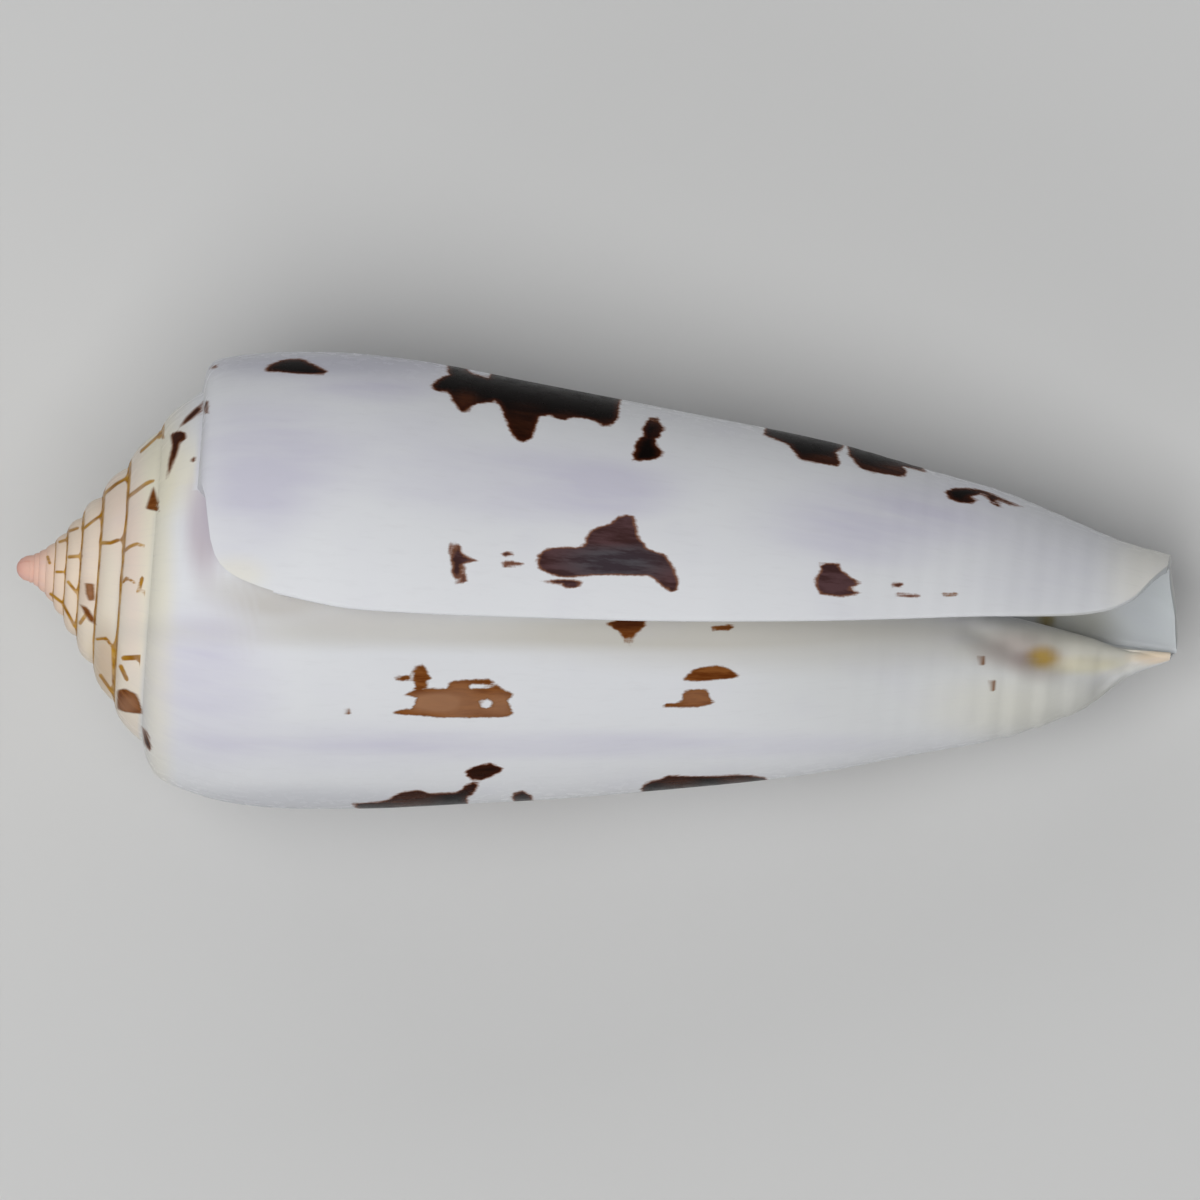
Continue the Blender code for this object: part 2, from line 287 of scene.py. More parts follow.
# Soft spots: middle, half width, half height, strength. A tone makes dark marks redder, mauve
# ones greyer and rust ones paler, and one below 0 makes them deeper.
TONES = [
    (465, 405, 13, 12, 1.0), (522, 430, 24, 20, 0.6), (564, 420, 18, 7, 0.6), (610, 428, 18, 8, 0.5),
    (822, 464, 32, 8, 1.0), (888, 474, 36, 9, 1.0), (985, 502, 22, 8, 0.3), (205, 408, 14, 14, 1.1),
    (178, 450, 16, 36, 1.1), (485, 771, 26, 12, 0.45), (408, 797, 26, 9, 1.3),
    (678, 781, 18, 7, 0.9), (735, 779, 14, 7, 0.9), (616, 562, 46, 18, 1.0),
    (612, 532, 26, 14, -0.6), (628, 621, 26, 9, -1.0), (728, 628, 14, 6, -0.5),
    (430, 702, 22, 9, 1.2), (460, 704, 22, 20, 0.7), (500, 705, 18, 12, 0.8),
    (695, 697, 22, 9, 0.5), (130, 704, 10, 9, 0.8), (90, 592, 12, 14, 0.8), (949, 595, 16, 6, 1.2),
]
CLOUDS = [
    (405, 450, 60, 44, 0.35),
    (272, 458, 70, 56, 1.0), (250, 520, 46, 40, 0.5), (370, 390, 60, 12, 0.8), (540, 484, 120, 34, 0.9),
    (610, 496, 54, 26, 0.5), (868, 524, 92, 36, 1.0), (960, 505, 60, 30, 0.35), (480, 375, 260, 14, 0.4),
    (212, 690, 60, 62, 0.8), (205, 640, 40, 40, 0.4), (600, 744, 260, 12, 0.7), (330, 745, 140, 20, 0.5),
    (1040, 560, 70, 40, 0.3), (300, 240, 90, 60, 0.9), (560, 230, 130, 50, 0.8), (860, 300, 110, 60, 0.9),
    (420, 960, 120, 60, 0.9), (700, 900, 140, 50, 0.8), (240, 900, 70, 60, 0.8),
]
WHITE = (0.775, 0.785, 0.805)
CREAM = (0.83, 0.79, 0.64)
# Soft colours on the lip's side: cream, and painted shade along the upper edge.
LIP_TINTS_AND_SHADE = [
    (CREAM, [(238, 574, 26, 16, 0.5), (158, 600, 16, 190, 0.8), (1150, 575, 40, 50, 0.4)]),
    # Bluish grey along the upper edge: painted shade.
    ((0.52, 0.52, 0.60), [(330, 364, 120, 12, 0.7)]),
]
# Soft colours seen under the lip: the shell's cream, glaze and stains, with painted shade and a painted
# highlight among them, as marked below.
UNDER_TINTS_AND_SHADE = [
    (CREAM, [(180, 474, 28, 34, 0.7), (158, 600, 16, 190, 0.8), (1085, 645, 110, 22, 0.8),
             (985, 705, 60, 26, 0.3)]),
    # Grey-beige just under the lip's edge: painted shade.
    ((0.60, 0.58, 0.53), [(500, 632, 330, 15, 0.7), (830, 638, 260, 28, 0.75)]),
    # Bluish grey along the lower edge: painted shade.
    ((0.60, 0.61, 0.65), [(300, 803, 150, 15, 0.6)]),
    # Grey that makes the lower body darker towards the front.
    ((0.66, 0.67, 0.65), [(890, 690, 140, 50, 0.45)]),
    # Grey under the lip's posterior part: painted shadow of the lip's edge.
    ((0.62, 0.60, 0.57), [(262, 594, 50, 20, 0.8), (350, 612, 90, 16, 0.7)]),
    # Grey-mauve in the sinus notch: its mauve glaze, darkened by painted shade.
    ((0.52, 0.45, 0.49), [(206, 528, 16, 48, 0.85)]),
    ((0.44, 0.36, 0.34), [(1014, 650, 34, 16, 0.6), (1040, 666, 26, 14, 0.7)]),
    ((0.66, 0.65, 0.56), [(1060, 706, 100, 34, 0.6)]),
    # Pale cream on the ridge, lighter than the shell's white: its cream colour with a painted highlight.
    ((0.92, 0.90, 0.80), [(1118, 648, 50, 12, 0.6)]),
    ((0.68, 0.62, 0.36), [(1082, 665, 40, 8, 0.5)]),
    ((0.42, 0.27, 0.05), [(1043, 657, 14, 10, 1.0)]),
    ((0.80, 0.55, 0.30), [(1156, 657, 24, 7, 0.5)]),
]
# Soft colours inside the canal: painted shade, and a brown spot.
INSIDE_TINTS_AND_SHADE = [
    # Grey in the canal's depth: painted shade.
    ((0.50, 0.50, 0.455), [(1072, 622, 56, 26, 1.0)]),
    ((0.30, 0.24, 0.10), [(1047, 620, 8, 9, 0.9)]),
    # Bluish grey towards the canal's front end: painted shade.
    ((0.60, 0.64, 0.65), [(1158, 610, 44, 50, 0.8)]),
]
SPIRE_COLOURS = [
    (15, (0.74, 0.40, 0.33)), (40, (0.80, 0.53, 0.42)), (58, (0.83, 0.66, 0.52)),
    (95, (0.82, 0.74, 0.60)), (140, (0.83, 0.75, 0.65)), (152, (0.84, 0.79, 0.66)), (200, WHITE),
]
BEIGE = (0.62, 0.47, 0.33)
BEIGE_SPOTS = [(106, 662, 12, 34, 0.8), (88, 592, 10, 14, 0.5), (116, 500, 10, 14, 0.2)]
PINK = (0.86, 0.68, 0.58)
PINK_SPOTS = [
    (140, 545, 18, 60, 0.6), (112, 505, 12, 40, 0.5), (92, 555, 12, 60, 0.4),
    (140, 640, 14, 30, 0.3),
]
# Where marks are small and their edges calm.
CALM = [(981, 660, 16, 14, 1.0), (991, 685, 16, 14, 1.0), (348, 711, 14, 12, 0.7)]
SPIRE_CALM = 0.75
# The angles below this belong to the lip, and those above it to what is seen under it.
LIP_SIDE = 180.0
# The angle to which the photo shows the spire, just past its upper edge.
SPIRE_SEEN_TO = 92
OUTSIDE_ALL = -40.0
LENGTHWISE = 2.0

# The material: how far noise moves the marks' edges, in pixels, and the colours.
LINE_RAGGEDNESS = 1.6
LINE_SOFTNESS = 0.8
RUST_RAGGEDNESS = 3.4
MARK_RAGGEDNESS = 3.0
FINE_SHARE = 0.6
STREAK_STRETCH = 0.16
LINE_DEEP, LINE_LIGHT = (0.32, 0.135, 0.01), (0.54, 0.285, 0.03)
LAVENDER = (0.585, 0.565, 0.69)
LAVENDER_SHARE = 0.66
GROWTH_GREY = (0.55, 0.54, 0.56)
RUST_DEEP, RUST_LIGHT = (0.13, 0.033, 0.006), (0.24, 0.082, 0.02)
RUST_PALER, RUST_DEEPER = (0.38, 0.195, 0.105), (0.055, 0.014, 0.005)
RUST_RIM = (0.22, 0.088, 0.022)
MAUVE_DEEP, MAUVE_LIGHT = (0.052, 0.023, 0.022), (0.10, 0.051, 0.054)
GREY_DEEP, GREY_LIGHT = (0.05, 0.038, 0.046), (0.085, 0.082, 0.092)
MAUVE_RIM = (0.23, 0.10, 0.055)
DARK_BODY = (0.0045, 0.0025, 0.002)
RED_DEEP, RED_LIGHT = (0.028, 0.0065, 0.003), (0.075, 0.021, 0.008)
DARK_RIM_LIGHT, DARK_RIM_DEEP = (0.20, 0.065, 0.018), (0.04, 0.009, 0.004)
BUMP_DISTANCE = 0.0001
BUMP_STRENGTH = 0.05
SMOOTHEST, ROUGHEST = 0.2, 0.33
SPECULAR = 0.01

# The stage. Lights: name, place, width and height, power.
FLOOR_HALF = 3.0
FLOOR_COLOUR = (0.63, 0.63, 0.62, 1)
FLOOR_ROUGHNESS = 0.75
LIGHT_TARGET = (0, 0, 0.015)
LIGHTS = [
    ("overhead", (-0.06, -0.10, 0.60), (0.5, 0.4), 2.5),
    ("upper", (-0.10, 0.40, 0.32), (0.6, 0.2), 0.5),
    ("lower", (-0.10, -0.42, 0.25), (0.6, 0.2), 0.45),
]
WORLD_COLOUR = (0.92, 0.94, 1.0, 1)
WORLD_STRENGTH = 0.13


def curve(points, at):
    """Heights of a smooth curve through points, which neither overshoots nor waves."""
    xs, ys = np.array(points, float).T
    at = np.clip(at, xs[0], xs[-1])
    slopes = np.diff(ys) / np.diff(xs)
    before, after = slopes[:-1], slopes[1:]
    product = before * after
    inner = np.where(product > 0, 2 * product / np.where(product > 0, before + after, 1), 0)
    tangents = np.concatenate([slopes[:1], inner, slopes[-1:]])
    index = np.clip(np.searchsorted(xs, at, side="right") - 1, 0, len(xs) - 2)
    width = xs[index + 1] - xs[index]
    f = (at - xs[index]) / width
    rise = ys[index + 1] - ys[index]
    start = f * (1 - f) ** 2 * width * tangents[index]
    end = f * f * (f - 1) * width * tangents[index + 1]
    return ys[index] + rise * f * f * (3 - 2 * f) + start + end


def ease(value):
    """A smooth step from 0 to 1."""
    value = np.clip(value, 0, 1)
    return value * value * (3 - 2 * value)


def suture_place(angle):
    return SUTURE_PLACE * PLACE_GROWTH ** (-(angle - QUARTER) / 360)


def suture_radius(angle):
    return suture_place(angle) * curve(SPIRE_SLOPE, (angle - QUARTER) / 360)


def end_place(angle):
    return curve(END_MARGIN, angle)


def along_body(angle, place):
    start = suture_place(angle)
    return (place - start) / (end_place(angle) - start)


def body_radius(angle, place):
    """The whorl's radius past its shoulder."""
    along = along_body(angle, place)
    ratio = curve(HALF_TURN_RATIO, along)
    ratio = np.where(angle < QUARTER, np.maximum(ratio, LEAST_LIP_RATIO), ratio)
    radius = curve(BODY_RADIUS, along) * ratio ** ((angle - QUARTER) / 180)
    inside = ease((angle - PILLAR_FROM) / (PILLAR_TO - PILLAR_FROM))
    radius = radius * (1 - inside * (1 - curve(PILLAR_RATIO, along)))
    return np.maximum(radius, LEAST_RADIUS)


def shouldered_radius(angle, place):
    """The whorl's radius with its rounded shoulder, which rises out of the suture."""
    low = suture_radius(angle)
    height = suture_place(angle - 360) - suture_place(angle)
    step = np.maximum(place - suture_place(angle), 0) / height
    rise = 1 - np.exp(-((step / curve(SHOULDER_REACH, angle)) ** curve(SHOULDER_POWER, angle)))
    return low + (body_radius(angle, place) - low) * rise


def surface_radius(angle, place):
    """The shell's radius, fitted to the suture of the next whorl where there is one."""
    radius = shouldered_radius(angle, place)
    joined = ease((angle - JOIN_FROM) / (360 + LIP_START - JOIN_FROM))
    next_place = suture_place(angle - 360)
    height = next_place - suture_place(angle)
    miss = suture_radius(angle - 360) - shouldered_radius(angle, next_place)
    step = (place - suture_place(angle)) / height
    share = np.where(step < 1, np.maximum(step, 0), ease((1 + FIT_FADE - step) / FIT_FADE))
    radius = radius + miss * joined * share
    chord = suture_radius(angle) + (suture_radius(angle - 360) - suture_radius(angle)) * step
    smooth = SMOOTHEST_TIP * ease((angle - SMOOTH_FROM) / (SMOOTH_TO - SMOOTH_FROM)) * (step <= 1)
    return radius + (chord - radius) * smooth


def points_at(angle, place, radius):
    turn = np.radians(angle)
    across = radius * np.sin(turn)
    return np.stack(
        [
            place + across * math.sin(GROWTH_LEAN),
            across * math.cos(GROWTH_LEAN),
            radius * np.cos(turn),
        ],
        -1,
    )


def photo_place(angle, place, radius, unroll=True):
    """The photo's pixel for each place. Heights run on round the side that is hidden there."""
    turn = (angle + QUARTER) % 360 - QUARTER
    unrolled = np.where(
        turn <= 90,
        np.sin(np.radians(turn)),
        np.where(turn <= 180, 1 + np.radians(turn - 90), -1 - np.radians(270 - turn)),
    )
    if not unroll:
        unrolled = np.sin(np.radians(angle))
    across = radius * np.sin(np.radians(angle))
    along = place + across * math.sin(GROWTH_LEAN)
    shown = across * math.cos(GROWTH_LEAN)
    x = along * math.cos(VIEW_SLOPE) + shown * math.sin(VIEW_SLOPE)
    up = radius * unrolled * math.cos(GROWTH_LEAN) * math.cos(VIEW_SLOPE) - along * math.sin(VIEW_SLOPE)
    return TIP_PIXEL[0] + x / PIXEL, TIP_PIXEL[1] - up / PIXEL


def line_distance(x, y, points):
    """How far each place is from a line through points."""
    nearest = np.full(np.shape(x), np.inf)
    for (x0, y0), (x1, y1) in zip(points, points[1:]):
        dx, dy = x1 - x0, y1 - y0
        along = np.clip(((x - x0) * dx + (y - y0) * dy) / (dx * dx + dy * dy), 0, 1)
        nearest = np.minimum(nearest, np.hypot(x - x0 - along * dx, y - y0 - along * dy))
    return nearest


def inside_depth(x, y, outline):
    """How far inside an outline each place is, in pixels, and minus that outside. Lengthwise
    distances count for less, so that the ragged ends of the marks reach further."""
    ring = [(corner_x / LENGTHWISE, corner_y) for corner_x, corner_y in outline]
    ring.append(ring[0])
    x = x / LENGTHWISE
    inside = np.zeros(x.shape, bool)
    for (x0, y0), (x1, y1) in zip(ring, ring[1:]):
        if y0 != y1:
            crosses = (y0 > y) != (y1 > y)
            inside ^= crosses & (x < x0 + (y - y0) * (x1 - x0) / (y1 - y0))
    distance = line_distance(x, y, ring)
    return np.where(inside, distance, -distance)


def layer_depth(x, y, outlines, holes=()):
    depth = np.full(x.shape, OUTSIDE_ALL)
    for outline in outlines:
        depth = np.maximum(depth, inside_depth(x, y, outline))
    for hole in holes:
        depth = np.minimum(depth, -inside_depth(x, y, hole))
    return np.maximum(depth, OUTSIDE_ALL)


def spots(x, y, rows):
    """The sum of soft spots, each 1 times its strength at its middle."""
    total = np.zeros(x.shape)
    for middle_x, middle_y, half_width, half_height, strength in rows:
        reach = np.hypot((x - middle_x) / half_width, (y - middle_y) / half_height)
        total += strength * ease(SPOT_START - SPOT_FALL * reach)
    return total


def blend_colour(colour, other, share):
    share = np.clip(share, 0, 1)[:, None]
    return colour * (1 - share) + np.array(other) * share


def moved_outlines():
    """The hidden side's marks: outlines of the seen side, moved and turned over."""
    moved = {name: [] for name in OUTLINES}
    for name, index, (dx, dy), turned in HIDDEN_COPIES:
        outline = OUTLINES[name][index]
        middle = sum(corner_x for corner_x, _ in outline) / len(outline)
        flip = -1 if turned else 1
        moved[name].append([(middle + flip * (x - middle) + dx, y + dy) for x, y in outline])
    return moved


def relief(angle, place, radius):
    """How deep the fine relief cuts into the last whorl."""
    x, y = photo_place(angle, place, radius)
    cords = CORD_DEPTH * np.sin(np.pi * place / CORD_SPACING) ** 2
    cords = cords * ease((place - CORDS_FROM) / CORDS_FADE)
    low_side = ease((angle - STEPS_ANGLE) / STEPS_ANGLE_FADE)
    steps = STEP_DEPTH * (place / STEP_SPACING % 1) * low_side
    steps = steps * ease((place - STEPS_FROM) / STEPS_FADE)
    groove = GROOVE_DEPTH * np.exp(-((line_distance(x, y, GROOVE) / GROOVE_WIDTH) ** 2))
    groove = groove * ease((angle - GROOVE_ANGLE) / GROOVE_ANGLE_FADE)
    return (cords + steps + groove) * ease((END_PLACE - place) / RELIEF_END_FADE)


class Spiral:
    """The shell's surface as rows, one per step of angle, and columns, from suture to front."""

    turn = ROWS_PER_TURN
    last_row = ROWS_PER_TURN * (SPIRE_TURNS + 1)
    depth = DEEP_ROWS
    shoulder = SHOULDER_COLUMNS
    roof = SHOULDER_COLUMNS + ROOF_COLUMNS
    front = SHOULDER_COLUMNS + BODY_COLUMNS

    def place(self, angle, column):
        start = suture_place(angle)
        next_start = suture_place(angle - 360)
        near = start + (next_start - start) * (column / self.shoulder) ** SUTURE_CROWDING
        share = np.maximum(1 - (column - self.shoulder) / BODY_COLUMNS, 0)
        along = 1 - share ** FRONT_CROWDING
        far = next_start + (end_place(angle) - next_start) * along
        return np.where(column <= self.shoulder, near, far)

    def angle(self, row, column):
        """Rows bend near the lip, so that the first follows its edge and one lies under it."""
        bend_angle = np.full(np.shape(column), LIP_BEND_ANGLE)
        at_lip = curve(LIP_EDGE, self.place(bend_angle, column)) - LIP_START
        at_suture = curve(LIP_EDGE, suture_place(LIP_BEND_ANGLE)) - LIP_START
        spread = LIP_SPREAD * self.turn
        under = np.clip((column - self.shoulder) / LIP_BEND_COLUMNS, 0, 1)
        at_strip = at_suture * np.clip(column / self.shoulder, 0, 1)
        shift = np.where(
            row > self.turn - spread,
            ease(1 - np.abs(row - self.turn) / spread) * (at_strip + (at_lip - at_strip) * under),
            ease(1 - row / spread) * at_lip,
        )
        turns = row / self.turn
        turns = turns - ROW_CROWDING * np.sin(2 * np.pi * turns) / (2 * np.pi)
        return LIP_START + 360 * turns + shift

    def outer(self, row, column):
        """Angles, places, radii and points of the outer surface and the wall in the opening."""
        angle = self.angle(row, column)
        place = self.place(angle, column)
        radius = surface_radius(angle, place)
        outside = ease((self.turn + UNDER_ROWS - row) / UNDER_ROWS) * (column > self.shoulder)
        radius = (radius - relief(angle, place, radius) * outside) * KEPT_INSIDE
        return angle, place, radius, points_at(angle, place, radius)

    def inner(self, row, column):
        """The inside of the outer wall, which stays clear of the whorl within it."""
        angle = self.angle(row, column)
        place = self.place(angle, column)
        outside = surface_radius(angle, place)
        within = surface_radius(angle + 360, place)
        wall = LIP_WALL + (WALL - LIP_WALL) * ease(row / LIP_WALL_ROWS)
        closing = ease((self.depth - row) / CLOSING_ROWS)
        gap = (outside - wall - within) * (LEAST_GAP_SHARE + (1 - LEAST_GAP_SHARE) * closing)
        gap = np.maximum(gap, LEAST_GAP_SHARE * (outside - within))
        radius = (within + gap) * KEPT_INSIDE
        return angle, place, radius, points_at(angle, place, radius)


class ShellGrid:
    """Vertices and faces of the whole shell, with the facts that its pattern is drawn from."""

    def __init__(self):
        self.spiral = Spiral()
        self.points, self.facts, self.count = [], [], 0
        self.faces, self.corners = [], []
        rows, columns = self.spiral.last_row + 1, self.spiral.front + 1
        self.outer_ids = np.full((rows, columns), -1)
        self.inner_ids = np.full((self.spiral.depth + 1, columns), -1)
        self.outer_facts = np.zeros((rows, columns, 2))
        self.inner_facts = np.zeros((self.spiral.depth + 1, columns, 2))
        self.make_vertices()
        self.make_faces()

    def add(self, ids, facts, rows, columns, maker, keep=None, seen=1.0):
        row, column = np.meshgrid(rows, columns, indexing="ij")
        angle, place, radius, points = maker(row.astype(float), column.astype(float))
        facts[row, column] = np.stack([angle, place], -1)
        wanted = ids[row, column] < 0
        if keep is not None:
            wanted &= keep(row, column)
        number = int(wanted.sum())
        ids[row[wanted], column[wanted]] = self.count + np.arange(number)
        self.points.append(points[wanted])
        outside = np.full(number, seen)
        self.facts.append(np.stack([angle[wanted], place[wanted], radius[wanted], outside], -1))
        self.count += number

    def make_vertices(self):
        spiral = self.spiral
        every = np.arange(spiral.front + 1)
        self.add(self.outer_ids, self.outer_facts, np.arange(spiral.turn), every, spiral.outer)
        strip = np.arange(spiral.shoulder + 1)
        rows = np.arange(spiral.turn, spiral.last_row + 1)
        self.add(
            self.outer_ids, self.outer_facts, rows, strip, spiral.outer,
            keep=lambda row, column: column < spiral.shoulder,
        )
        self.outer_ids[rows, spiral.shoulder] = self.outer_ids[rows - spiral.turn, 0]
        body = np.arange(spiral.shoulder + 1, spiral.front + 1)
        marked = spiral.turn + MARKED_ROWS
        parts = ((spiral.turn, marked, 1.0), (marked, spiral.turn + spiral.depth + 1, PILLAR_SEEN))
        for first, end, seen in parts:
            self.add(
                self.outer_ids, self.outer_facts, np.arange(first, end), body, spiral.outer,
                keep=lambda row, column: (column >= spiral.roof) | (row == spiral.turn), seen=seen,
            )
        deep = np.arange(spiral.depth + 1)
        under_roof = np.arange(spiral.roof, spiral.front + 1)
        self.add(self.inner_ids, self.inner_facts, deep, under_roof, spiral.inner, seen=0.0)

    def quads(self, sheets, rows, columns, flip=False):
        """Quads between one row and column and the next, on one sheet of vertices."""
        ids, facts = sheets
        row, column = (part.ravel() for part in np.meshgrid(rows, columns, indexing="ij"))
        around = [(row, column), (row, column + 1), (row + 1, column + 1), (row + 1, column)]
        if flip:
            around.reverse()
        self.faces.append(np.stack([ids[r, c] for r, c in around], 1))
        self.corners.append(np.stack([facts[r, c] for r, c in around], 1))

    def bridge(self, one, two):
        """Quads between two lists of (vertex, angle, place)."""
        for a, b, c, d in zip(one, one[1:], two[1:], two):
            self.single([a, b, c, d])

    def single(self, corners):
        self.faces.append(np.array([[corner[0] for corner in corners]]))
        self.corners.append(np.array([[corner[1:] for corner in corners]]))

    def fan(self, hub, rim):
        for one, two in zip(rim, rim[1:]):
            self.single([hub, one, two])

    def out(self, row, column):
        return (self.outer_ids[row, column], *self.outer_facts[row, column])

    def within(self, row, column):
        return (self.inner_ids[row, column], *self.inner_facts[row, column])

    def lone(self, point, angle, place):
        """One vertex outside the sheets."""
        self.points.append(np.array([point]))
        self.facts.append(np.array([[angle, place, 0.0, 0.0]]))
        self.count += 1
        return (self.count - 1, angle, place)

    def rounded_lip(self, columns):
        """Lists of vertices that carry the lip's edge round from its outside to its inside."""
        points = np.concatenate(self.points)
        rows = [[] for _ in LIP_ROUNDING]
        for column in columns:
            outside = points[self.outer_ids[0, column]]
            inside = points[self.inner_ids[0, column]]
            behind = (points[self.outer_ids[1, column]] + points[self.inner_ids[1, column]]) / 2
            middle, half = (outside + inside) / 2, (outside - inside) / 2
            forward = middle - behind
            forward = forward / np.linalg.norm(forward) * np.linalg.norm(half) * LIP_BULGE
            for row, degrees in zip(rows, LIP_ROUNDING):
                turn = math.radians(degrees)
                point = middle + half * math.cos(turn) + forward * math.sin(turn)
                row.append(self.lone(point, *self.outer_facts[0, column]))
        return rows

    def make_faces(self):
        spiral = self.spiral
        outer = (self.outer_ids, self.outer_facts)
        inner = (self.inner_ids, self.inner_facts)
        under, deepest = spiral.turn, spiral.depth
        self.quads(outer, np.arange(under), np.arange(spiral.front))
        self.quads(outer, np.arange(under, spiral.last_row), np.arange(spiral.shoulder))
        self.quads(outer, np.arange(under, under + deepest), np.arange(spiral.roof, spiral.front))
        self.quads(inner, np.arange(deepest), np.arange(spiral.roof, spiral.front), flip=True)
        deep = range(deepest + 1)
        body = range(spiral.roof, spiral.front + 1)
        self.bridge(
            [self.within(r, spiral.roof) for r in deep],
            [self.out(under + r, spiral.roof) for r in deep],
        )
        self.bridge(
            [self.out(r, spiral.front) for r in deep],
            [self.within(r, spiral.front) for r in deep],
        )
        edge = [[self.out(0, c) for c in body], *self.rounded_lip(body)]
        edge.append([self.within(0, c) for c in body])
        for one, two in zip(edge, edge[1:]):
            self.bridge(one, two)
        self.bridge(
            [self.within(deepest, c) for c in body], [self.out(under + deepest, c) for c in body]
        )
        parietal = [self.out(under, c) for c in range(spiral.roof, spiral.shoulder, -1)]
        lip_end = [self.out(0, c) for c in range(spiral.roof + 1)]
        self.fan(self.within(0, spiral.roof), parietal + lip_end + [row[0] for row in edge[1:-1]])
        self.fan(self.within(0, spiral.front), [row[-1] for row in edge[-2::-1]])
        front = [self.out(r, spiral.front) for r in range(deepest, under + deepest + 1)]
        front.append(self.within(deepest, spiral.front))
        front_middle = self.lone((END_PLACE, 0, 0), FRONT_MIDDLE_ANGLE, END_PLACE)
        self.fan(front_middle, front + front[:1])
        first_turn = [self.out(r, 0) for r in range(spiral.last_row - spiral.turn, spiral.last_row + 1)]
        seam = [self.out(spiral.last_row, c) for c in range(1, spiral.shoulder)]
        rim = first_turn + seam
        rim = rim + rim[:1]
        points = np.concatenate(self.points)
        outer_ring = rim
        for degrees in DOME_TURNS:
            turn = math.radians(degrees)
            ring = []
            for index, angle, _ in rim[:-1]:
                x, y, z = points[index]
                x = x - (x - TIP_PLACE) * math.sin(turn)
                point = (x, y * math.cos(turn), z * math.cos(turn))
                ring.append(self.lone(point, angle, x))
            ring.append(ring[0])
            self.bridge(outer_ring, ring)
            outer_ring = ring
        tip = self.lone((TIP_PLACE, 0, 0), LIP_START + 360 * (SPIRE_TURNS + 1), TIP_PLACE)
        self.fan(tip, outer_ring)

    def mesh(self, name):
        """The mesh, in the shell's own frame and in millimetres, with what its pattern needs."""
        quads = [face for face in self.faces if face.shape[1] == 4]
        triangles = [face for face in self.faces if face.shape[1] == 3]
        quad_facts = [facts for facts in self.corners if facts.shape[1] == 4]
        triangle_facts = [facts for facts in self.corners if facts.shape[1] == 3]
        data = bpy.data.meshes.new(name)
        faces = np.concatenate(quads).tolist() + np.concatenate(triangles).tolist()
        data.from_pydata(np.concatenate(self.points).tolist(), [], faces)
        facts = np.concatenate(
            [np.concatenate(quad_facts).reshape(-1, 2), np.concatenate(triangle_facts).reshape(-1, 2)]
        )
        for index, fact in enumerate(("growth", "place")):
            layer = data.attributes.new(fact, "FLOAT", "CORNER")
            layer.data.foreach_set("value", facts[:, index].astype(np.float32))
        for fact, values in pattern(*np.concatenate(self.facts).T).items():
            kind = "FLOAT" if values.ndim == 1 else "FLOAT_COLOR"
            layer = data.attributes.new(fact, kind, "POINT")
            key = "value" if values.ndim == 1 else "color"
            layer.data.foreach_set(key, values.astype(np.float32).ravel())
        return data


def hidden_lines(angle, place, radius):
    """Axial lines on the half of the spire that the photo doesn't show, as depths in pixels."""
    random = np.random.default_rng(SEED)
    steps = random.uniform(*HIDDEN_LINE_STEP, HIDDEN_LINE_COUNT)
    marks = HIDDEN_LINES_FROM + np.cumsum(steps)
    start = suture_place(angle)
    share = (place - start) / (suture_place(angle - 360) - start)
    leaned = angle + HIDDEN_LINE_SLANT * np.clip(share, 0, 1)
    nearest = np.min(np.abs(leaned[:, None] - marks[None, :]), 1)
    return (HIDDEN_LINE_WIDTH - np.radians(nearest) * radius) / PIXEL


def pattern(angle, place, radius, outside):
    """What each vertex tells the material: depths inside the marks, tones, and soft colours with painted
    shade and a painted highlight among them.
    """
    x, y = photo_place(angle, place, radius)
    on_spire = angle > 360 + LIP_START
    turn = (angle + QUARTER) % 360 - QUARTER
    seen = turn <= SPIRE_SEEN_TO
    moved = moved_outlines()
    hidden = np.full(x.shape, OUTSIDE_ALL)
    facts = {}
    for name, outlines in OUTLINES.items():
        depth = layer_depth(x, y, outlines, HOLES.get(name, ()))
        if name == "rust":
            depth = np.where(angle < LIP_SIDE, layer_depth(x, y, LIP_RUST), depth)
        copied = np.where(on_spire, hidden, layer_depth(x, y, moved[name]))
        facts[name] = np.maximum(depth, copied)
    start = suture_place(angle)
    drawn = np.full(x.shape, OUTSIDE_ALL)
    for points, half_width in LINES:
        drawn = np.maximum(drawn, half_width + LINE_BOLDNESS - line_distance(x, y, points))
    drawn = np.where(seen, drawn, hidden_lines(angle, place, radius))
    width = SUTURE_LINE_WIDTH * ease(start / SUTURE_LINE_PLACE)
    suture = (width - (place - start)) / PIXEL
    suture = np.where((angle > SUTURE_LINE_FROM) & (start > SUTURE_LINE_LEAST), suture, OUTSIDE_ALL)
    facts["line"] = np.where(on_spire, np.maximum(drawn, suture), OUTSIDE_ALL)
    for name in (*OUTLINES, "line"):
        facts[name] = np.where(outside > PILLAR_SEEN, facts[name], OUTSIDE_ALL)
    facts["tone"] = spots(x, y, TONES)
    facts["calm"] = np.maximum(spots(x, y, CALM), SPIRE_CALM * on_spire)
    facts["cloud"] = spots(x, y, CLOUDS) * (outside > PILLAR_SEEN) * ~on_spire
    # Soft colours, with painted shade and a painted highlight among them.
    facts["tint"] = soft_colours_and_shade(angle, place, radius, on_spire, outside)
    return facts


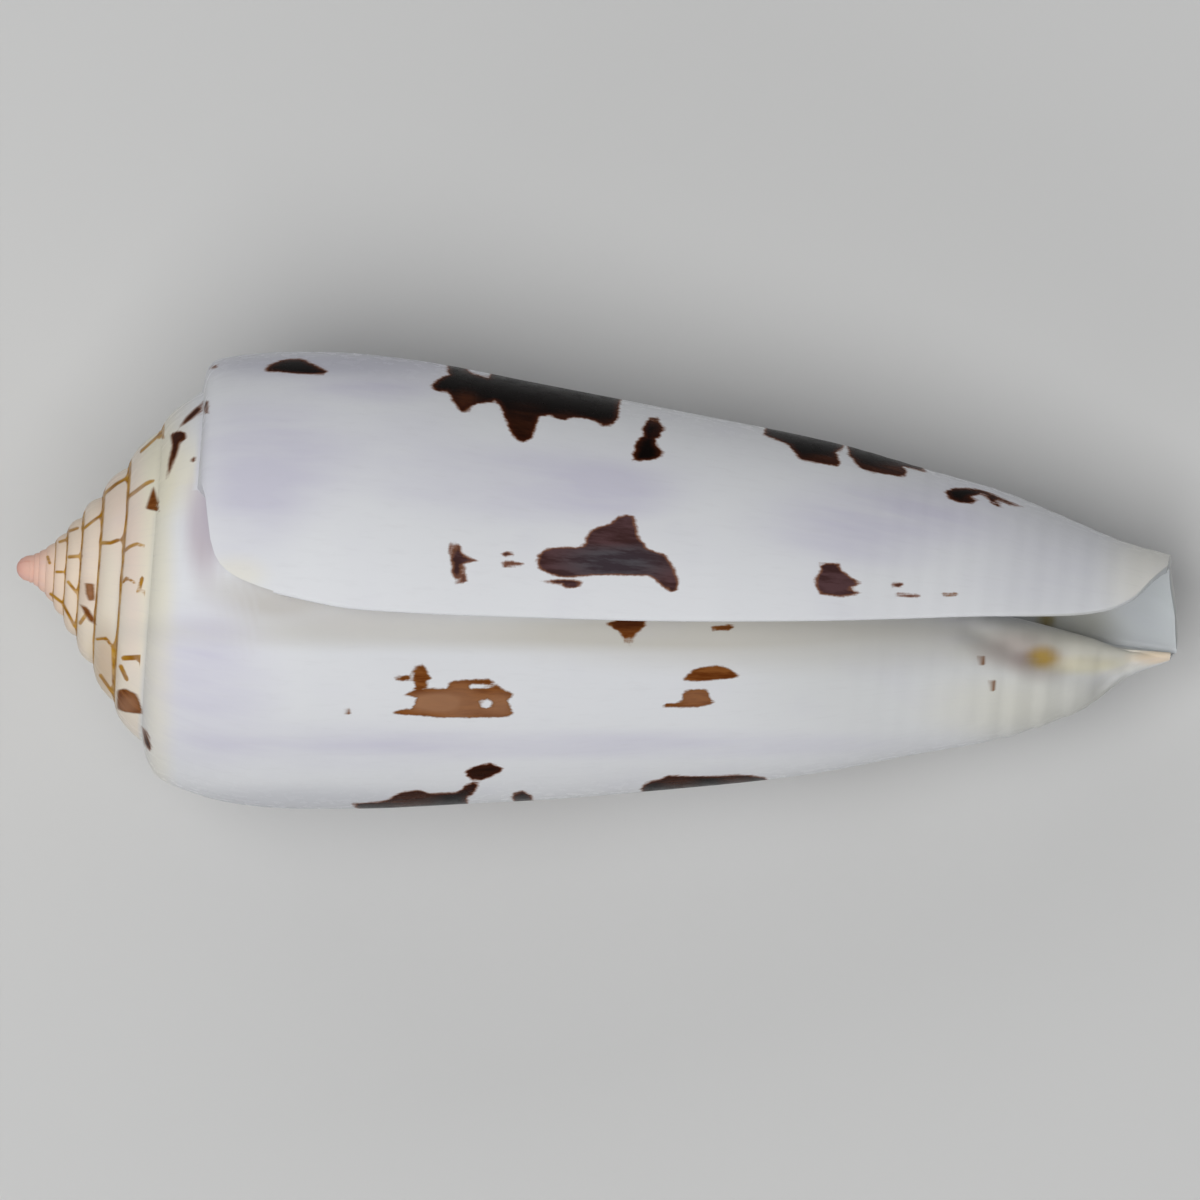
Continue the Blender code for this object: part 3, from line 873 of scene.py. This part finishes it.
def soft_colours_and_shade(angle, place, radius, on_spire, outside):
    # The shell's soft colours, with painted shade under the lip, along its edges and in the canal, and a
    # painted highlight on the ridge.
    x, y = photo_place(angle, place, radius)
    colour = np.tile(np.array(WHITE), (len(x), 1))
    stops = np.array([stop for stop, _ in SPIRE_COLOURS], float)
    table = np.array([tint for _, tint in SPIRE_COLOURS])
    spire = np.stack([np.interp(x, stops, table[:, channel]) for channel in range(3)], 1)
    for tint, rows in ((BEIGE, BEIGE_SPOTS), (PINK, PINK_SPOTS)):
        spire = blend_colour(spire, tint, spots(x, y, rows))
    colour = np.where(on_spire[:, None], spire, colour)
    lip, inside = (outside > 0) & (angle < LIP_SIDE), outside == 0
    for tints_and_shade, part in ((LIP_TINTS_AND_SHADE, lip), (UNDER_TINTS_AND_SHADE, ~lip & ~inside)):
        for tint, rows in tints_and_shade:
            colour = blend_colour(colour, tint, spots(x, y, rows) * part)
    x, y = photo_place(angle, place, radius, unroll=False)
    for tint, rows in INSIDE_TINTS_AND_SHADE:
        colour = blend_colour(colour, tint, spots(x, y, rows) * inside)
    return np.column_stack([colour, np.ones(len(x))])


def shell_object(cad):
    data = ShellGrid().mesh("cone_shell")
    mesh = bmesh.new()
    mesh.from_mesh(data)
    bmesh.ops.recalc_face_normals(mesh, faces=mesh.faces)
    tip = min((vertex.co for vertex in cad.data.vertices), key=lambda co: co.x)
    pitch = Matrix.Rotation(math.radians(REST_PITCH), 4, "Y")
    scale = Matrix.Scale(MILLIMETRE, 4)
    shift = Vector(tip) - pitch @ scale @ Vector((TIP_PLACE, 0, 0))
    to_world = Matrix.Translation(shift) @ pitch @ scale
    bmesh.ops.transform(mesh, matrix=to_world, verts=mesh.verts)
    for vertex in mesh.verts:
        vertex.co.z = max(vertex.co.z, 0.0)
    mesh.to_mesh(data)
    mesh.free()
    data.shade_smooth()
    data.set_sharp_from_angle(angle=math.radians(SHARP_ANGLE))
    shell = bpy.data.objects.new("cone_shell", data)
    bpy.context.collection.objects.link(shell)
    return shell, to_world


class Graph:
    """Short ways to write a material's nodes. Each call gives an output to link on."""

    def __init__(self, name):
        self.material = bpy.data.materials.new(name)
        self.material.use_nodes = True
        self.nodes = self.material.node_tree.nodes
        self.links = self.material.node_tree.links
        self.shader = self.nodes["Principled BSDF"]

    def put(self, socket, value):
        if isinstance(value, bpy.types.NodeSocket):
            self.links.new(value, socket)
        else:
            socket.default_value = value

    def fact(self, name, output="Fac"):
        node = self.nodes.new("ShaderNodeAttribute")
        node.attribute_name = name
        return node.outputs[output]

    def sum(self, operation, *values, clamp=False):
        node = self.nodes.new("ShaderNodeMath")
        node.operation = operation
        node.use_clamp = clamp
        for socket, value in zip(node.inputs, values):
            self.put(socket, value)
        return node.outputs[0]

    def scaled(self, value, low, high, to_low=0.0, to_high=1.0):
        node = self.nodes.new("ShaderNodeMapRange")
        node.interpolation_type = "SMOOTHSTEP"
        for socket, part in zip(node.inputs, (value, low, high, to_low, to_high)):
            self.put(socket, part)
        return node.outputs[0]

    def vector(self, x, y, z=0.0):
        node = self.nodes.new("ShaderNodeCombineXYZ")
        for socket, part in zip(node.inputs, (x, y, z)):
            self.put(socket, part)
        return node.outputs[0]

    def noise(self, vector, scale, detail=2.0, roughness=0.5):
        node = self.nodes.new("ShaderNodeTexNoise")
        self.put(node.inputs["Vector"], vector)
        node.inputs["Scale"].default_value = scale
        node.inputs["Detail"].default_value = detail
        node.inputs["Roughness"].default_value = roughness
        return node.outputs["Fac"]

    def mix(self, share, one, two):
        node = self.nodes.new("ShaderNodeMix")
        node.data_type = "RGBA"
        self.put(node.inputs["Factor"], share)
        for socket, colour in ((node.inputs[6], one), (node.inputs[7], two)):
            if isinstance(colour, tuple):
                colour = (*colour, 1.0)
            self.put(socket, colour)
        return node.outputs[2]

    def ramp(self, value, stops):
        node = self.nodes.new("ShaderNodeValToRGB")
        elements = node.color_ramp.elements
        while len(elements) < len(stops):
            elements.new(0.5)
        for element, (place, colour) in zip(elements, stops):
            element.position = place
            element.color = (*colour, 1.0)
        self.put(node.inputs["Fac"], value)
        return node.outputs["Color"]

    def bump(self, height, distance, strength):
        node = self.nodes.new("ShaderNodeBump")
        self.put(node.inputs["Height"], height)
        node.inputs["Distance"].default_value = distance
        node.inputs["Strength"].default_value = strength
        return node.outputs["Normal"]


class ShellMaterial(Graph):
    """Glossy white shell with lavender clouds, dark, mauve and rust marks and growth lines, over soft
    colours that include painted shade and a painted highlight.
    """

    # Millimetres to one degree at a middling radius, so that both directions have one scale.
    MILLIMETRES_PER_DEGREE = 0.21

    def __init__(self):
        super().__init__("shell")
        place = self.fact("place")
        arc = self.sum("MULTIPLY", self.fact("growth"), self.MILLIMETRES_PER_DEGREE)
        self.streaks = self.vector(self.sum("MULTIPLY", place, STREAK_STRETCH), arc)
        self.even = self.vector(place, arc)
        self.tone = self.fact("tone")
        self.lively = self.sum("SUBTRACT", 1.0, self.fact("calm"), clamp=True)
        self.marks()
        self.surface()

    def edge(self, name, amount, width=1.0):
        """How deep inside a layer's ragged outline a place is, and its cover from 0 to 1."""
        ragged = self.noise(self.streaks, 2.3, 3.0, 0.6)
        fine = self.noise(self.even, 3.2, 2.0)
        wave = self.sum("MULTIPLY", self.sum("SUBTRACT", ragged, 0.5), amount)
        ripple = self.sum("MULTIPLY", self.sum("SUBTRACT", fine, 0.5), amount * FINE_SHARE)
        uneven = self.sum("MULTIPLY", self.sum("ADD", wave, ripple), self.lively)
        depth = self.sum("ADD", self.fact(name), uneven)
        return depth, self.scaled(depth, -width, width)

    def marks(self):
        grain = self.noise(self.streaks, 1.7, 4.0, 0.65)
        colour = self.base_colour(grain)
        _, cover = self.edge("line", LINE_RAGGEDNESS, LINE_SOFTNESS)
        tan = self.noise(self.even, 0.8, 2.0)
        line = self.ramp(tan, [(0.35, LINE_DEEP), (0.65, LINE_LIGHT)])
        fade = self.scaled(self.noise(self.even, 0.55, 2.0), 0.3, 0.62, 0.7, 1.0)
        colour = self.mix(self.sum("MULTIPLY", cover, fade), colour, line)
        colour = self.rust(colour, grain)
        colour = self.mauve(colour, grain)
        self.put(self.shader.inputs["Base Color"], self.dark(colour, grain))

    def base_colour(self, grain):
        cloudy = self.noise(self.streaks, 0.55, 3.0, 0.55)
        patches = self.noise(self.even, 0.16, 2.0)
        amount = self.sum("MULTIPLY", self.fact("cloud"), self.scaled(cloudy, 0.25, 0.7, 0.45, 1.0))
        faint = self.sum("MULTIPLY", self.scaled(patches, 0.5, 0.75), 0.18)
        amount = self.sum("MAXIMUM", amount, faint, clamp=True)
        share = self.sum("MULTIPLY", amount, LAVENDER_SHARE)
        # The tint attribute brings the soft colours, with painted shade under the lip, along the edges
        # and in the canal, and a painted highlight on the ridge.
        colour = self.mix(share, self.fact("tint", "Color"), LAVENDER)
        lines = self.noise(self.streaks, 3.0, 3.0, 0.6)
        shade = self.scaled(lines, 0.5, 0.75, 0.0, 0.09)
        return self.mix(shade, colour, GROWTH_GREY)

    def rust(self, colour, grain):
        depth, cover = self.edge("rust", RUST_RAGGEDNESS)
        body = self.mix(self.scaled(grain, 0.4, 0.62), RUST_DEEP, RUST_LIGHT)
        paler = self.sum("MAXIMUM", self.tone, 0.0, clamp=True)
        deeper = self.sum("MAXIMUM", self.sum("MULTIPLY", self.tone, -1.0), 0.0, clamp=True)
        body = self.mix(self.sum("MULTIPLY", paler, 0.8), body, RUST_PALER)
        body = self.mix(self.sum("MULTIPLY", deeper, 0.85), body, RUST_DEEPER)
        body = self.mix(self.scaled(depth, 0.0, 1.8), RUST_RIM, body)
        return self.mix(cover, colour, body)

    def mauve(self, colour, grain):
        depth, cover = self.edge("mauve", MARK_RAGGEDNESS)
        body = self.mix(self.scaled(grain, 0.38, 0.64), MAUVE_DEEP, MAUVE_LIGHT)
        greyer = self.sum("MAXIMUM", self.tone, 0.0, clamp=True)
        grey = self.mix(self.scaled(grain, 0.4, 0.6), GREY_DEEP, GREY_LIGHT)
        body = self.mix(self.sum("MULTIPLY", greyer, 0.9), body, grey)
        body = self.mix(self.scaled(depth, 0.2, 2.2), MAUVE_RIM, body)
        return self.mix(cover, colour, body)

    def dark(self, colour, grain):
        depth, cover = self.edge("dark", MARK_RAGGEDNESS)
        warmth = self.sum("MAXIMUM", self.tone, 0.0, clamp=True)
        red = self.mix(self.scaled(grain, 0.35, 0.65), RED_DEEP, RED_LIGHT)
        body = self.mix(self.sum("MULTIPLY", warmth, 0.9), DARK_BODY, red)
        rim = self.mix(self.scaled(depth, 0.0, 1.6), DARK_RIM_LIGHT, DARK_RIM_DEEP)
        body = self.mix(self.scaled(depth, 0.6, 4.2), rim, body)
        return self.mix(cover, colour, body)

    def surface(self):
        growth = self.noise(self.streaks, 4.2, 3.0, 0.6)
        broad = self.noise(self.even, 0.35, 2.0)
        height = self.sum("ADD", self.sum("MULTIPLY", growth, 0.5), self.sum("MULTIPLY", broad, 0.9))
        self.put(self.shader.inputs["Normal"], self.bump(height, BUMP_DISTANCE, BUMP_STRENGTH))
        worn = self.noise(self.even, 1.1, 4.0, 0.6)
        roughness = self.scaled(worn, 0.3, 0.75, SMOOTHEST, ROUGHEST)
        self.put(self.shader.inputs["Roughness"], roughness)
        self.shader.inputs["Specular IOR Level"].default_value = SPECULAR


def floor_material():
    graph = Graph("floor")
    graph.shader.inputs["Base Color"].default_value = FLOOR_COLOUR
    graph.shader.inputs["Roughness"].default_value = FLOOR_ROUGHNESS
    return graph.material


def add_floor():
    half = FLOOR_HALF
    data = bpy.data.meshes.new("floor")
    corners = [(-half, -half, 0), (half, -half, 0), (half, half, 0), (-half, half, 0)]
    data.from_pydata(corners, [], [(0, 1, 2, 3)])
    data.materials.append(floor_material())
    floor = bpy.data.objects.new("floor", data)
    bpy.context.collection.objects.link(floor)


def add_light(name, place, size, power):
    data = bpy.data.lights.new(name, "AREA")
    data.shape = "RECTANGLE"
    data.size, data.size_y = size
    data.energy = power
    light = bpy.data.objects.new(name, data)
    light.location = place
    direction = Vector(LIGHT_TARGET) - Vector(place)
    light.rotation_euler = direction.to_track_quat("-Z", "Y").to_euler()
    bpy.context.collection.objects.link(light)


def add_lights():
    """Soft light from above, and a little from both long sides and all round."""
    for light in LIGHTS:
        add_light(*light)
    world = bpy.data.worlds.new("world")
    world.use_nodes = True
    background = world.node_tree.nodes["Background"]
    background.inputs["Color"].default_value = WORLD_COLOUR
    background.inputs["Strength"].default_value = WORLD_STRENGTH
    bpy.context.scene.world = world
    bpy.context.scene.view_settings.view_transform = "Standard"


def add_camera(to_world):
    """Looks square at the shell's axis, from far enough to be nearly parallel."""
    right = Vector((math.cos(VIEW_SLOPE), math.sin(VIEW_SLOPE), 0))
    up = Vector((-math.sin(VIEW_SLOPE), math.cos(VIEW_SLOPE), 0))
    middle = VIEW_PIXELS / 2
    target = (
        right * (middle - TIP_PIXEL[0]) * PIXEL - up * (middle - TIP_PIXEL[1]) * PIXEL
    )
    turn = to_world.to_3x3().normalized()
    toward = right.cross(up)
    place = to_world @ (target + toward * CAMERA_DISTANCE)
    basis = Matrix((turn @ right, turn @ up, turn @ toward)).transposed().to_4x4()
    data = bpy.data.cameras.new("camera")
    data.sensor_width = SENSOR_WIDTH
    data.lens = SENSOR_WIDTH * CAMERA_DISTANCE / (VIEW_PIXELS * PIXEL)
    data.clip_end = CLIP_END
    camera = bpy.data.objects.new("camera", data)
    camera.matrix_world = Matrix.Translation(place) @ basis
    bpy.context.collection.objects.link(camera)
    bpy.context.scene.camera = camera


def main():
    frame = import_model()
    shell, to_world = shell_object(frame["nodes"]["shell"])
    shell.data.materials.append(ShellMaterial().material)
    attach(shell, "root")
    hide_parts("shell")
    add_floor()
    add_lights()
    add_camera(to_world)


main()
